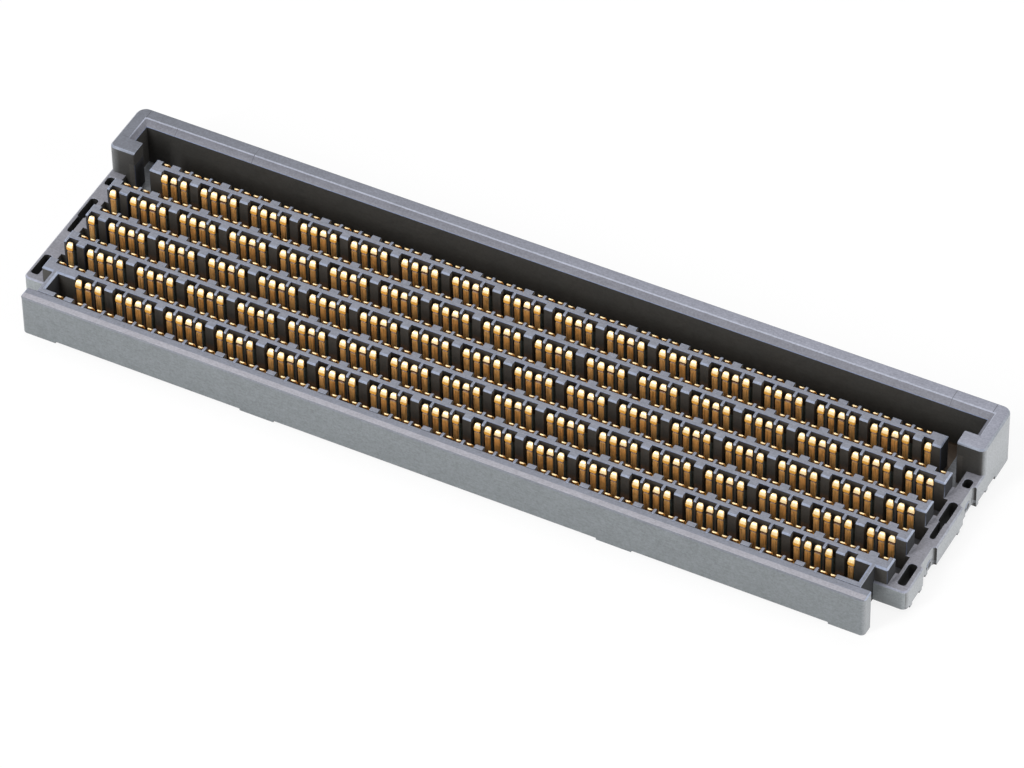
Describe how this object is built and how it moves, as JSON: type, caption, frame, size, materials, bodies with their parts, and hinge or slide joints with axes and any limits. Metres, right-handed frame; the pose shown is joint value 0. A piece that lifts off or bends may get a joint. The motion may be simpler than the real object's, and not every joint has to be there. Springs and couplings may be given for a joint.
{
  "type": "board to board connector",
  "caption": "Low mezzanine array connector with gold spring contacts on comb-shaped ribs in a moulded housing; two alike mate face to face.",
  "frame": {"origin": "middle of the footprint in plan, on the plane of the standoff pads that rest on the board", "axes": "+X along the ribs, +Y towards the tall wall, +Z away from the board towards the mating side"},
  "size_m": [0.0678, 0.02, 0.0044],
  "materials": {
    "housing": "matt glass-filled moulding",
    "ground_contacts": "gold plated",
    "signal_contacts": "gold plated"
  },
  "bodies": {
    "root": {"housing": "housing", "ground_contacts_row_01": "ground_contacts", "ground_contacts_row_02": "ground_contacts", "ground_contacts_row_03": "ground_contacts", "ground_contacts_row_04": "ground_contacts", "ground_contacts_row_05": "ground_contacts", "ground_contacts_row_06": "ground_contacts", "ground_contacts_row_07": "ground_contacts", "ground_contacts_row_08": "ground_contacts", "ground_contacts_row_09": "ground_contacts", "ground_contacts_row_10": "ground_contacts", "ground_contacts_row_11": "ground_contacts", "signal_contacts_row_01": "signal_contacts", "signal_contacts_row_02": "signal_contacts", "signal_contacts_row_03": "signal_contacts", "signal_contacts_row_04": "signal_contacts", "signal_contacts_row_05": "signal_contacts", "signal_contacts_row_06": "signal_contacts", "signal_contacts_row_07": "signal_contacts", "signal_contacts_row_08": "signal_contacts", "signal_contacts_row_09": "signal_contacts", "signal_contacts_row_10": "signal_contacts", "signal_contacts_row_11": "signal_contacts"}
  },
  "joints": []
}
